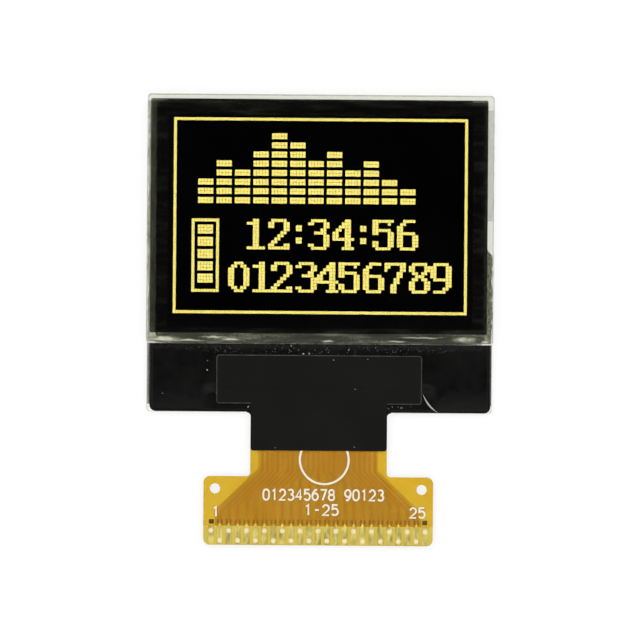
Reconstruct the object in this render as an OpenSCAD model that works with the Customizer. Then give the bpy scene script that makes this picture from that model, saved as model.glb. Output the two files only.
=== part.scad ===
// Small graphic OLED module: two glass plates with a dot matrix sealed between
// them, a driver chip bonded to the glass ledge, and a flexible printed tail.
// It lies on its back. The origin is the middle of the substrate's back face,
// +Z points at the viewer and +Y to the top of the picture. Sizes in millimetres.

/* [Glass panel] */
// Width of both glass plates
panel_w = 27.1; // [26:0.1:32]
// Height of the rear plate, ledge included
panel_h = 24.9; // [24.4:0.1:30]
// Thickness of the rear plate, the substrate
substrate_t = 0.55; // [0.4:0.05:1.1]
// Thickness of the front plate, the cover
cover_t = 0.65; // [0.4:0.05:1.1]
// Height of the bare ledge below the cover
ledge_h = 5.4; // [5.2:0.1:5.8]
// Gap between the plates, which the seal fills
cell_gap = 0.05; // [0.05:0.01:0.1]
// Cut across the corners of the plates
corner_nip = 0.18; // [0.05:0.01:0.4]

/* [Seal] */
// Distance of the seal from the sides and the top of the cover
seal_inset = 0.5; // [0.2:0.05:0.6]
// Distance of the seal from the bottom of the cover
seal_foot = 0.12; // [0.05:0.01:0.3]
// Width of the seal
seal_w = 1.1; // [0.5:0.05:1.2]
// Gap between the image and the black surround inside the seal
mask_gap = 0.05; // [0.02:0.01:0.1]

/* [Polariser] */
// Thickness of the polariser
polariser_t = 0.2; // [0.1:0.05:0.3]
// Distance of the polariser from the left side of the cover
polariser_left = 0.28; // [0.2:0.01:0.6]
// Distance of the polariser from the right side of the cover
polariser_right = 0.5; // [0.2:0.01:0.6]
// Distance of the polariser from the top of the cover
polariser_top = 0.4; // [0.2:0.05:0.8]
// Distance of the polariser from the bottom of the cover
polariser_foot = 0.82; // [0.3:0.02:1.2]
// Radius of the polariser's corners
polariser_r = 0.15; // [0.05:0.05:0.5]

/* [Dot matrix] */
// Distance from the side of the panel to the image
image_side = 2.03; // [1.98:0.01:2.6]
// Distance from the top of the panel to the image
image_top = 1.8; // [1.75:0.05:2.4]
// Distance from the bottom of the cover to the image
image_foot = 2.34; // [2:0.02:3]
// Bare gap between two dots
dot_gap = 0.02; // [0.01:0.005:0.05]
// Thickness of each deposited layer
film_t = 0.01; // [0.008:0.001:0.012]

/* [Leads on the glass] */
// Distance between two row leads
row_lead_pitch = 0.03; // [0.026:0.001:0.032]
// Width of a row lead
row_lead_w = 0.018; // [0.01:0.001:0.022]
// Width of a column lead at the chip
column_lead_w = 0.05; // [0.03:0.005:0.06]
// Width of an input lead
input_lead_w = 0.2; // [0.12:0.01:0.24]

/* [Driver chip] */
// Length of the chip
chip_l = 12.8; // [11:0.1:14.5]
// Width of the chip
chip_w = 1.4; // [1:0.1:1.5]
// Thickness of the chip
chip_t = 0.3; // [0.2:0.01:0.4]
// Distance from the cover's edge to the chip
chip_drop = 1.45; // [1.4:0.05:1.5]
// Distance from the chip's ends to its bumps
bump_end = 0.2; // [0.1:0.02:0.4]
// Distance between two row bumps
row_bump_pitch = 0.042; // [0.038:0.001:0.046]
// Height of the bumps and of the films that bond the chip and the tail
bond_t = 0.02; // [0.015:0.001:0.03]

/* [Ledge coat] */
// Distance of the black coat from the edges of the ledge
coat_inset = 0.25; // [0.1:0.05:0.5]
// Radius of the coat's lower corners
coat_r = 0.5; // [0.2:0.05:1]
// How far the coat climbs the edge of the cover
coat_rise = 0.1; // [0.05:0.01:0.2]
// Width of the bead along the edge of the cover
bead_w = 0.6; // [0.3:0.05:0.8]

/* [Light tape] */
// Width of the tape's arms over the ledge
tape_w = 16.1; // [14:0.1:18]
// Distance from the cover's edge to the tape
tape_drop = 0.86; // [0.6:0.02:1.1]
// Height of the tape's arms
tape_arm_h = 3.84; // [3.2:0.02:4.2]
// Full length of the tape
tape_h = 7.5; // [6.6:0.1:8.5]
// Thickness of the tape
tape_t = 0.07; // [0.04:0.01:0.12]
// Radius of the tape's corners
tape_r = 0.25; // [0.1:0.05:0.5]
// How far the neck of the tail shows beside the tape
tape_side = 0.03; // [0:0.01:0.3]

/* [Flexible tail] */
// Distance from the glass to the end of the tail
tail_drop = 10.4; // [9.8:0.1:14]
// Width of the neck
neck_w = 10.7; // [9.6:0.1:11.8]
// Width of the tab that carries the pads
tab_w = 18; // [16:0.1:20]
// Height of the tab
tab_h = 5.4; // [4.8:0.1:6]
// Radius of the tab's corners
tab_r = 0.5; // [0.2:0.05:1]
// Radius between the neck and the tab
neck_r = 0.3; // [0.1:0.05:0.6]
// Overlap of the tail on the ledge
bond_h = 1.5; // [1.2:0.05:1.55]
// Gap between the glass and the base film
base_clear = 0.3; // [0.1:0.05:0.6]
// Thickness of the base film
base_t = 0.05; // [0.025:0.005:0.075]
// Thickness of the copper
copper_t = 0.035; // [0.018:0.001:0.05]
// Thickness of the cover film over the copper
coverlay_t = 0.05; // [0.025:0.005:0.075]
// Distance from the tab's upper edge to the tooling holes
tooling_drop = 0.97; // [0.8:0.01:1.2]
// Distance from the tab's side to the tooling holes
tooling_side = 0.9; // [0.8:0.05:1.2]
// Diameter of the tooling holes
tooling_d = 0.8; // [0.5:0.05:1]

/* [Pads] */
// Distance from the tab's side to the middle of the first pad
pad_side = 0.6; // [0.4:0.05:0.9]
// Width of a pad
pad_w = 0.46; // [0.38:0.01:0.52]
// Height of the window that bares the pads
window_h = 1.5; // [1.3:0.05:1.7]
// Distance of the pads from the end of the tail
pad_inset = 0.08; // [0.05:0.01:0.15]
// Thickness of the gold on the pads
gold_t = 0.01; // [0.005:0.001:0.015]
// Diameter of the solder holes
hole_d = 0.3; // [0.2:0.01:0.34]
// Height of the upper row of solder holes above the end of the tail
hole_high = 1.13; // [1:0.01:1.2]
// Height of the lower row of solder holes above the end of the tail
hole_low = 0.36; // [0.3:0.01:0.5]
// Distance from the neck's side to the middle of the first trace
trace_side = 0.95; // [0.8:0.01:1.2]
// Width of a trace in the neck
trace_w = 0.24; // [0.15:0.01:0.28]
// Width of a trace between two solder dams
throat_w = 0.15; // [0.1:0.01:0.2]
// Width of a solder dam
dam_w = 0.15; // [0.08:0.01:0.18]
// Height of a solder dam
dam_h = 0.34; // [0.2:0.01:0.4]
// Distance from the pads' window to the solder dams
dam_gap = 0.17; // [0.1:0.01:0.3]

/* [Printed ring] */
// Radius of the ring printed on the tail
ring_r = 2; // [1.5:0.05:2.2]
// Width of the printed line
ring_line = 0.17; // [0.1:0.01:0.3]
// Distance of the ring's middle from the middle of the tail
ring_x = 0.45; // [-1:0.05:1]
// Distance from the ring's middle to the lower edge of the tape
ring_drop = 0.7; // [0.4:0.05:1]
// Thickness of the ink
ink_t = 0.01; // [0.005:0.001:0.02]

/* [Hidden] */
$fn = 48;

columns = 96;
rows = 64;
side_rows = rows / 2;
pins = 25;
eps = 0.001;

// Edges of the panel
panel_top = panel_h / 2;
panel_foot = -panel_h / 2;
panel_side = panel_w / 2;
ledge_top = panel_foot + ledge_h;

// Heights of the stacked layers, from the leads on the rear plate up
lead_z = substrate_t;
film_z = lead_z + film_t;
cathode_z = film_z + film_t;
glow_z = cathode_z + film_t;
cover_z = substrate_t + cell_gap;
polariser_z = cover_z + cover_t;

// Dot matrix
image_w = panel_w - 2 * image_side;
image_high = panel_top - image_top;
image_low = ledge_top + image_foot;
column_pitch = image_w / columns;
row_pitch = (image_high - image_low) / rows;
dot_w = column_pitch - dot_gap;
dot_h = row_pitch - dot_gap;

// Outer and inner corners of the seal
seal_outer = [panel_side - seal_inset, ledge_top + seal_foot, panel_top - seal_inset];
seal_inner = seal_outer + [-seal_w, seal_w, -seal_w];

// Driver chip and its bumps
bump_z = lead_z + film_t;
chip_z = bump_z + bond_t;
chip_top = ledge_top - chip_drop;
chip_foot = chip_top - chip_w;
bump_h = 0.1;
bump_edge = 0.06;
row_bump_w = 0.024;
bump_group_gap = 0.15;
first_row_bump = chip_l / 2 - bump_end - (side_rows - 1) * row_bump_pitch;
column_bump_pitch = 2 * (first_row_bump - bump_group_gap) / (columns - 1);
chip_lead_end = chip_top - bump_edge - bump_h;
chip_lead_foot = chip_foot + bump_edge + bump_h;

// Leads from the dots to the chip
column_stub = 1.02;
image_stub = 0.15;
foot_reach = 0.2;
first_row_lead = image_w / 2 + foot_reach + row_lead_pitch;
last_row_lead = first_row_lead + (side_rows - 1) * row_lead_pitch;
row_knee_high = ledge_top + 0.6;
row_knee_step = 0.028;
row_stub_high = 0.72;
row_stub_step = 0.021;

// Ledge coat and what lies on it
chip_face = chip_z + chip_t;
tail_end = panel_foot - tail_drop;
bond_top = panel_foot + bond_h;
base_z = chip_z - base_t;
copper_z = chip_z;
gold_z = copper_z + copper_t;
tail_face = gold_z + coverlay_t;
slope_gap = 0.1;
slope_start = chip_foot - slope_gap;

// Tape
tape_top = ledge_top - tape_drop;
tape_foot = tape_top - tape_h;

// Tail
tab_top = tail_end + tab_h;
base_top = panel_foot - base_clear;
window_top = tail_end + window_h;
tooling_x = tab_w / 2 - tooling_side;
tooling_y = tab_top - tooling_drop;
dam_foot = window_top + dam_gap;
dam_head = dam_foot + dam_h;

// Traces: straight down the neck, aslant across the tab, straight down to the pads.
// The two end pads carry nothing.
pad_pitch = (tab_w - 2 * pad_side) / (pins - 1);
trace_pitch = (neck_w - 2 * trace_side) / (pins - 3);
fan_rise = 0.4;
fan_end = 0.5;
taper = 0.12;
fan_top = tab_top + fan_rise;
fan_foot = dam_head + fan_end;
fan_slope = (fan_top - fan_foot) / abs(pad_x(1) - trace_x(1));

// ---------------------------------------------------------------- helpers

// A box from one corner to the opposite one
module block(low, high) {
    translate(low) cube(high - low);
}

// A plain rectangle with its four corners rounded
module rounded(low, high, r) {
    translate([low.x + r, low.y]) square([high.x - low.x - 2 * r, high.y - low.y]);
    translate([low.x, low.y + r]) square([high.x - low.x, high.y - low.y - 2 * r]);
    for (x = [low.x + r, high.x - r], y = [low.y + r, high.y - r])
        translate([x, y]) circle(r);
}

// The concave fillet in the corner at p, between a wall that rises and a floor on its side
module fillet(p, side, r) {
    translate(p) mirror([side < 0 ? 1 : 0, 0]) difference() {
        square(r);
        translate([r, r]) circle(r);
    }
}

// A glass plate with its four corners nipped off
module glass_plate(low, high, t) {
    n = corner_nip;
    linear_extrude(t) polygon([
        [low.x + n, low.y], [high.x - n, low.y], [high.x, low.y + n], [high.x, high.y - n],
        [high.x - n, high.y], [low.x + n, high.y], [low.x, high.y - n], [low.x, low.y + n]]);
}

// A flat line along a path, with its own width and its own direction across at each point
function edge(path, widths, across, side) =
    [for (i = [0 : len(path) - 1]) path[i] + side * widths[i] / 2 * across[i]];

module line_of(path, widths, across, t) {
    near = edge(path, widths, across, -1);
    far = edge(path, widths, across, 1);
    linear_extrude(t)
        polygon(concat(near, [for (i = [len(far) - 1 : -1 : 0]) far[i]]));
}

// ---------------------------------------------------------------- glass panel

module substrate_glass() {
    color([0.80, 0.86, 0.84, 0.4])
        glass_plate([-panel_side, panel_foot], [panel_side, panel_top], substrate_t);
}

module cover_glass() {
    color([0.82, 0.88, 0.86, 0.4]) translate([0, 0, cover_z])
        glass_plate([-panel_side, ledge_top], [panel_side, panel_top], cover_t);
}

module polariser() {
    color([0.05, 0.05, 0.06, 0.9]) translate([0, 0, polariser_z])
        linear_extrude(polariser_t)
            rounded([-panel_side + polariser_left, ledge_top + polariser_foot],
                    [panel_side - polariser_right, panel_top - polariser_top], polariser_r);
}

// A box round the middle of the panel; its edge holds the half width, the foot and the head
module cell_block(edge, low, high) {
    block([-edge[0], edge[1], low], [edge[0], edge[2], high]);
}

// The seal bridges the leads where they pass under it
module perimeter_seal() {
    reach = last_row_lead + row_lead_pitch;
    color([0.30, 0.30, 0.27]) difference() {
        cell_block(seal_outer, lead_z, cover_z);
        cell_block(seal_inner, lead_z - 1, cover_z + 1);
        block([-reach, ledge_top, lead_z - 1], [reach, image_high, lead_z + film_t]);
    }
}

// Black print on the cover's inner face, between the seal and the image
module surround_mask() {
    image = [image_w / 2, image_low, image_high] + mask_gap * [1, -1, 1];
    color([0.05, 0.05, 0.06]) difference() {
        cell_block(seal_inner, cover_z - film_t, cover_z);
        cell_block(image, lead_z, cover_z + 1);
    }
}

// ---------------------------------------------------------------- dot matrix

function column_x(i) = (i - (columns - 1) / 2) * column_pitch;
function column_bump_x(i) = (i - (columns - 1) / 2) * column_bump_pitch;
function row_y(i) = image_high - (i + 0.5) * row_pitch;

// Each column is one line: a broad strip under its dots that narrows on its way to the chip
module column_lines() {
    across = [for (i = [0 : 4]) [1, 0]];
    color([0.55, 0.58, 0.62]) translate([0, 0, lead_z]) for (i = [0 : columns - 1]) {
        x = column_x(i);
        b = column_bump_x(i);
        line_of([[x, image_high], [x, image_low], [x, image_low - image_stub],
                 [b, chip_lead_end + column_stub], [b, chip_lead_end]],
                [dot_w, dot_w, column_lead_w * 2, column_lead_w, column_lead_w],
                across, film_t);
    }
}

module emissive_film() {
    color([0.06, 0.06, 0.05])
        block([-image_w / 2, image_low, film_z], [image_w / 2, image_high, cathode_z]);
}

// Rows reach the leads in turn at the left and at the right, where each has a foot
module row_electrodes() {
    color([0.30, 0.31, 0.33]) for (i = [0 : rows - 1]) {
        side = i % 2 == 0 ? -1 : 1;
        y = row_y(i);
        tip = image_w / 2 + foot_reach;
        mirror([side < 0 ? 1 : 0, 0, 0]) {
            block([-image_w / 2, y - dot_h / 2, cathode_z], [tip, y + dot_h / 2, glow_z]);
            block([image_w / 2, y - dot_h / 2, film_z], [tip, y + dot_h / 2, cathode_z + eps]);
        }
    }
}

// The top row takes the outermost lead, so that no two leads cross
module row_leads() {
    color([0.70, 0.71, 0.72]) translate([0, 0, lead_z]) for (i = [0 : rows - 1]) {
        k = side_rows - 1 - floor(i / 2);
        x = first_row_lead + k * row_lead_pitch;
        b = first_row_bump + k * row_bump_pitch;
        knee = row_knee_high - k * row_knee_step;
        stub = chip_lead_end + row_stub_high - k * row_stub_step;
        y = row_y(i);
        inner = image_w / 2;
        mirror([i % 2 == 0 ? 1 : 0, 0, 0]) {
            block([inner, y - dot_h / 2, 0], [inner + foot_reach, y + dot_h / 2, film_t]);
            block([inner + foot_reach - eps, y - row_lead_w / 2, 0],
                  [x, y + row_lead_w / 2, film_t]);
            line_of([[x, y + row_lead_w / 2], [x, knee], [b, stub], [b, chip_lead_end]],
                    [row_lead_w, row_lead_w, row_lead_w, row_lead_w],
                    [[1, 0], [1, -1], [1, -1], [1, 0]], film_t);
        }
    }
}

// ---------------------------------------------------------------- lit image

// Dots from column c and row r on, w dots wide and h dots high, lit as one field
module field(c, r, w, h) {
    x = (c - columns / 2) * column_pitch;
    y = image_high - r * row_pitch;
    half = dot_gap / 2;
    block([x + half, y - h * row_pitch + half, glow_z],
          [x + w * column_pitch - half, y - half, glow_z + film_t]);
}

// The outline of such a field, one dot wide
module field_frame(c, r, w, h) {
    x = (c + 1 - columns / 2) * column_pitch;
    y = image_high - (r + 1) * row_pitch;
    half = dot_gap / 2;
    difference() {
        field(c, r, w, h);
        block([x - half, y - (h - 2) * row_pitch - half, glow_z - 1],
              [x + (w - 2) * column_pitch + half, y + half, glow_z + 1]);
    }
}

// A level meter, counted in dots from the image's upper left corner
bar_levels = [3, 5, 4, 6, 8, 7, 5, 6, 4, 5, 3, 2];
bar_first = 8;
bar_step = 6;
bar_w = 5;
bar_base = 29;
block_step = 3;
block_h = 2;

// An upright gauge
gauge_c = 6;
gauge_r = 33;
gauge_w = 9;
gauge_h = 24;
gauge_steps = 5;
gauge_step = 4;

// A border, the level meter and the gauge
module lit_image() {
    color([0.96, 0.90, 0.35]) {
        field_frame(0, 0, columns, rows);
        for (b = [0 : len(bar_levels) - 1], k = [1 : bar_levels[b]])
            field(bar_first + b * bar_step, bar_base - k * block_step, bar_w, block_h);
        field_frame(gauge_c, gauge_r, gauge_w, gauge_h);
        for (k = [0 : gauge_steps - 1])
            field(gauge_c + 2, gauge_r + 2 + k * gauge_step, gauge_w - 4, gauge_step - 1);
    }
}

// ---------------------------------------------------------------- driver chip

module input_leads() {
    color([0.70, 0.71, 0.72]) for (i = [0 : pins - 1]) {
        x = trace_x(i);
        block([x - input_lead_w / 2, panel_foot + base_clear / 2, lead_z],
              [x + input_lead_w / 2, chip_lead_foot, lead_z + film_t]);
    }
}

// The bumps on the chip's face: columns and rows along one edge, inputs along the other
module bump_field() {
    for (i = [0 : columns - 1]) bump(column_bump_x(i), chip_lead_end, column_lead_w);
    for (k = [0 : side_rows - 1], side = [-1, 1])
        bump(side * (first_row_bump + k * row_bump_pitch), chip_lead_end, row_bump_w);
    for (i = [0 : pins - 1]) bump(trace_x(i), chip_foot + bump_edge, input_lead_w);
}

module bump(x, y, w) {
    block([x - w / 2, y, bump_z], [x + w / 2, y + bump_h, chip_z + eps]);
}

module driver_chip() {
    color([0.16, 0.16, 0.19]) {
        block([-chip_l / 2, chip_foot, chip_z], [chip_l / 2, chip_top, chip_face]);
        bump_field();
    }
}

module chip_bond_film() {
    color([0.55, 0.50, 0.38]) difference() {
        block([-chip_l / 2, chip_foot, bump_z], [chip_l / 2, chip_top, chip_z]);
        bump_field();
    }
}

module tail_bond_film() {
    color([0.55, 0.50, 0.38])
        block([-neck_w / 2, panel_foot, bump_z], [neck_w / 2, bond_top, copper_z]);
}

// ---------------------------------------------------------------- ledge

// Height of the coat's surface, as points [y, z] from the cover's edge down to the tail's end
bead_steps = 6;
slope_steps = 10;
surface = concat(
    [for (i = [0 : bead_steps])
        [ledge_top - bead_w * i / bead_steps,
         chip_face + coat_rise * (1 - sin(90 * i / bead_steps))]],
    [for (i = [0 : slope_steps])
        [slope_start + (bond_top - slope_start) * i / slope_steps,
         tail_face + (chip_face - tail_face) * (1 + cos(180 * i / slope_steps)) / 2]],
    [[tail_end, tail_face]]);

// The space between the surface lifted by low and the surface lifted by high
module along_surface(low, high) {
    n = len(surface) - 1;
    rotate([90, 0, 90]) translate([0, 0, -panel_w]) linear_extrude(2 * panel_w)
        polygon(concat([for (p = surface) p + [0, low]],
                       [for (i = [n : -1 : 0]) surface[i] + [0, high]]));
}

module coat_outline() {
    x = panel_side - coat_inset;
    low = panel_foot + coat_inset / 2;
    translate([-x, low + coat_r]) square([2 * x, ledge_top - low - coat_r]);
    rounded([-x, low], [x, ledge_top - coat_r], coat_r);
}

// Black resin over the leads, flush with the chip and with the tail's face
module ledge_coat() {
    reach = first_row_lead + side_rows * row_lead_pitch;
    color([0.07, 0.07, 0.07]) difference() {
        translate([0, 0, lead_z]) linear_extrude(2 * chip_t) coat_outline();
        along_surface(0, 2);
        block([-reach, chip_foot - eps, lead_z - 1], [reach, ledge_top + 1, lead_z + film_t]);
        block([-chip_l / 2, chip_foot, lead_z - 1], [chip_l / 2, chip_top, chip_face + 1]);
        block([-neck_w / 2, panel_foot - 1, lead_z - 1],
              [neck_w / 2, bond_top, tail_face + 1]);
        block([trace_x(0) - input_lead_w, panel_foot - 1, lead_z - 1],
              [trace_x(pins - 1) + input_lead_w, chip_foot, lead_z + film_t]);
    }
}

module tape_outline() {
    arm_foot = tape_top - tape_arm_h;
    rounded([-tape_w / 2, arm_foot], [tape_w / 2, tape_top], tape_r);
    half = neck_w / 2 - tape_side;
    rounded([-half, tape_foot], [half, tape_top], tape_r);
}

// A T of black tape that follows the chip, the coat and the tail
module light_tape() {
    color([0.10, 0.10, 0.10]) intersection() {
        linear_extrude(3) tape_outline();
        along_surface(0, tape_t);
    }
}

// ---------------------------------------------------------------- flexible tail

function trace_x(i) = (i - (pins - 1) / 2) * trace_pitch;
function pad_x(i) = (i - (pins - 1) / 2) * pad_pitch;
function hole_y(i) = tail_end + (i % 2 == 0 ? hole_high : hole_low);

module tail_outline(top) {
    translate([-neck_w / 2, tab_top - tab_r]) square([neck_w, top - tab_top + tab_r]);
    rounded([-tab_w / 2, tail_end], [tab_w / 2, tab_top], tab_r);
    for (side = [-1, 1]) fillet([side * neck_w / 2, tab_top], side, neck_r);
}

module tooling_holes() {
    for (side = [-1, 1])
        translate([side * tooling_x, tooling_y, 0]) cylinder(h = 3, d = tooling_d);
}

module solder_holes() {
    for (i = [0 : pins - 1]) translate([pad_x(i), hole_y(i), 0]) cylinder(h = 3, d = hole_d);
}

module tail_base_film() {
    color([0.85, 0.64, 0.16]) difference() {
        translate([0, 0, base_z]) linear_extrude(base_t) tail_outline(base_top);
        tooling_holes();
        solder_holes();
    }
}

// Each trace narrows between its solder dams and widens again into its pad
module copper_lines() {
    across = [for (i = [0 : 7]) [1, 0]];
    pad_foot = tail_end + pad_inset;
    translate([0, 0, copper_z]) for (i = [0 : pins - 1]) {
        x = trace_x(i);
        p = pad_x(i);
        knee = fan_top - abs(p - x) * fan_slope;
        if (i > 0 && i < pins - 1)
            line_of([[x, bond_top], [x, fan_top], [p, knee], [p, dam_head + taper],
                     [p, dam_head], [p, dam_foot], [p, window_top], [p, pad_foot]],
                    [trace_w, trace_w, trace_w, trace_w,
                     throat_w, throat_w, pad_w, pad_w], across, copper_t);
        else
            block([p - pad_w / 2, pad_foot, 0], [p + pad_w / 2, window_top, copper_t]);
    }
}

module tail_traces() {
    color([0.80, 0.50, 0.22]) difference() {
        copper_lines();
        solder_holes();
    }
}

// Its glue fills the space between the traces down to the base film
module tail_cover_film() {
    color([0.83, 0.60, 0.13]) difference() {
        translate([0, 0, copper_z]) linear_extrude(copper_t + coverlay_t) difference() {
            tail_outline(bond_top);
            translate([-tab_w, tail_end - 1]) square([2 * tab_w, window_h + 1]);
        }
        copper_lines();
        dam_blocks();
        tooling_holes();
    }
}

module gold_pads() {
    color([0.86, 0.74, 0.38]) difference() {
        for (i = [0 : pins - 1])
            block([pad_x(i) - pad_w / 2, tail_end + pad_inset, gold_z],
                  [pad_x(i) + pad_w / 2, window_top, gold_z + gold_t]);
        solder_holes();
    }
}

// Dark blocks beside each throat, which keep solder from running up the trace
module dam_blocks() {
    reach = throat_w / 2 + dam_w;
    for (i = [0 : pins - 1]) {
        x = pad_x(i);
        if (i > 0 && i < pins - 1) for (side = [-1, 1])
            mirror([side < 0 ? 1 : 0, 0, 0])
                block([side * x + throat_w / 2, dam_foot, copper_z],
                      [side * x + reach, dam_head, gold_z]);
        else
            block([x - reach, dam_foot, copper_z], [x + reach, dam_head, gold_z]);
    }
}

module solder_dams() {
    color([0.30, 0.16, 0.03]) dam_blocks();
}

// The tape hides the top of the ring
module printed_ring() {
    y = tape_foot - ring_drop;
    color([0.97, 0.93, 0.82]) translate([0, 0, tail_face]) linear_extrude(ink_t)
        difference() {
            translate([ring_x, y]) circle(ring_r);
            translate([ring_x, y]) circle(ring_r - ring_line);
            translate([-neck_w, tape_foot]) square([2 * neck_w, 2 * ring_r]);
        }
}

// ---------------------------------------------------------------- nodes

substrate_glass();
column_lines();
emissive_film();
row_electrodes();
row_leads();
lit_image();
perimeter_seal();
surround_mask();
cover_glass();
polariser();
input_leads();
driver_chip();
chip_bond_film();
tail_bond_film();
ledge_coat();
tail_base_film();
tail_traces();
tail_cover_film();
gold_pads();
solder_dams();
printed_ring();
light_tape();
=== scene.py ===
"""The looks of a small graphic OLED module that lies on its back on a pale floor.

Sizes are in metres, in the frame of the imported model: the origin is the middle of the rear
plate's back face, +Z points at the viewer and +Y to the top of the picture.
"""
import math

import bmesh
import bpy
from mathutils import Matrix, Vector, noise


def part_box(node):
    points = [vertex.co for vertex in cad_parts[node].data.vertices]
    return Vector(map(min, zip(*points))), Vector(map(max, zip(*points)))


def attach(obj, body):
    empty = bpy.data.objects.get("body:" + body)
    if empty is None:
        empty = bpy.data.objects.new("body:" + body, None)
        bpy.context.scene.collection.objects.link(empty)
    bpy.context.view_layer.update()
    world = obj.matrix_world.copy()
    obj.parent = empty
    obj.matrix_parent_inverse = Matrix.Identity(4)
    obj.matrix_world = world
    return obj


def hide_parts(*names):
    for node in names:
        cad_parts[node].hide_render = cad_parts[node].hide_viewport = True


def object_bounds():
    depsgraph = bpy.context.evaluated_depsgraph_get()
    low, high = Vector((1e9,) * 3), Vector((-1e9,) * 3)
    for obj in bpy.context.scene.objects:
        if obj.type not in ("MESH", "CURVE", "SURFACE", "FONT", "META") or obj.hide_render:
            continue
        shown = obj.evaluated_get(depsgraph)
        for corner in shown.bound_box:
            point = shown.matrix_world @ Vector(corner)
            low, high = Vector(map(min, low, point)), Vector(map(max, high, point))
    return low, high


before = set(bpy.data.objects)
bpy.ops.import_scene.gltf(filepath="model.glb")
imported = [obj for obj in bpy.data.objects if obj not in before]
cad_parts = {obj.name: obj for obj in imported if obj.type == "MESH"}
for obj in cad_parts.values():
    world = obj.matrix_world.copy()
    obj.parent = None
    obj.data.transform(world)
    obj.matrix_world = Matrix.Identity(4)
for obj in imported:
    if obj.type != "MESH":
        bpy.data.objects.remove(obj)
cad_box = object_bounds()

MM = 0.001
GAP = 0.002 * MM  # keeps two faces that meet from lying in one plane
EDGE_MARGIN = 0.04 * MM  # how far resin on the glass stays from the plates' sides
BOX = {node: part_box(node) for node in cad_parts}


def clamp(value, low=0, high=1):
    """The value, held between two limits."""
    return max(low, min(high, value))


# ---------------------------------------------------------------- camera, lamps and floor

VIEW_HEIGHT = 150 * MM
VIEW_WIDTH = 49.9 * MM
VIEW_SHIFT = Vector((0.03, 0.04, 0)) * MM
VIEW_ROLL = math.radians(0.45)
CLIP_RATIO = 100  # how much nearer and further than the module the camera still sees


def add_camera():
    """Looks straight down at the middle of the module."""
    low, high = cad_box
    data = bpy.data.cameras.new("camera")
    camera = bpy.data.objects.new("camera", data)
    bpy.context.collection.objects.link(camera)
    middle = (low + high) / 2 + VIEW_SHIFT
    camera.location = (middle.x, middle.y, VIEW_HEIGHT)
    camera.rotation_euler = (0, 0, VIEW_ROLL)
    data.angle = 2 * math.atan(VIEW_WIDTH / 2 / (VIEW_HEIGHT - high.z))
    data.clip_start = VIEW_HEIGHT / CLIP_RATIO
    data.clip_end = VIEW_HEIGHT * CLIP_RATIO
    bpy.context.scene.camera = camera


LAMP_DISTANCE = 0.3
LAMP_SIDE = 0.2
LAMP_ELEVATION = math.radians(55)
# Each lamp's bearing in degrees and its power in watts
LAMPS = {"lamp_key": (120, 0.34), "lamp_right": (30, 0.26), "lamp_left": (210, 0.24),
         "lamp_foot": (300, 0.24)}


def add_lamps():
    """Four soft boxes round the module, off the line in which the glass mirrors the camera."""
    aim = (cad_box[0] + cad_box[1]) / 2
    for name, (bearing, power) in LAMPS.items():
        data = bpy.data.lights.new(name, "AREA")
        data.shape = "SQUARE"
        data.size = LAMP_SIDE
        data.energy = power
        turn = math.radians(bearing)
        out = Vector((math.cos(turn) * math.cos(LAMP_ELEVATION),
                      math.sin(turn) * math.cos(LAMP_ELEVATION), math.sin(LAMP_ELEVATION)))
        lamp = bpy.data.objects.new(name, data)
        lamp.location = aim + out * LAMP_DISTANCE
        lamp.rotation_euler = out.to_track_quat("Z", "Y").to_euler()
        bpy.context.collection.objects.link(lamp)


# ---------------------------------------------------------------- material tools

# A pattern's scale is the count of its grains to a millimetre, times this. Most real grains
# here are too fine to show, so they are drawn as coarse as it takes to show them.
PER_MM = 1 / MM
NOISE_LOW, NOISE_HIGH = 0.3, 0.7  # the range in which almost all of a noise lies


def srgb(colour):
    """A hex colour such as "D4AC32" as linear values with full alpha."""
    parts = [int(colour[i:i + 2], 16) / 255 for i in (0, 2, 4)]
    linear = [p / 12.92 if p <= 0.04045 else ((p + 0.055) / 1.055) ** 2.4 for p in parts]
    return (*linear, 1.0)


def add(tree, kind, sockets=None, stops=None, **settings):
    """Adds a node. Its sockets get values, or the outputs or nodes' first outputs to join."""
    made = tree.nodes.new("ShaderNode" + kind)
    for name, value in settings.items():
        setattr(made, name, value)
    for name, value in (sockets or {}).items():
        if isinstance(value, bpy.types.Node):
            value = value.outputs[0]
        if isinstance(value, bpy.types.NodeSocket):
            tree.links.new(value, made.inputs[name])
        else:
            made.inputs[name].default_value = value
    if stops:
        elements = made.color_ramp.elements
        while len(elements) < len(stops):
            elements.new(1)
        for element, (place, colour) in zip(elements, stops):
            element.position = place
            element.color = colour
    return made


def new_material(name):
    """An empty material with its node tree."""
    made = bpy.data.materials.new(name)
    made.use_nodes = True
    made.node_tree.nodes.clear()
    return made, made.node_tree


def show_clear(tree, film, tint):
    """Shows a clear film or glass, and lets the lamps' light straight through it in a tint."""
    path = add(tree, "LightPath")
    passed = add(tree, "BsdfTransparent", {"Color": srgb(tint)})
    shown = add(tree, "MixShader", {0: path.outputs["Is Shadow Ray"], 1: film, 2: passed})
    add(tree, "OutputMaterial", {"Surface": shown})


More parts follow.
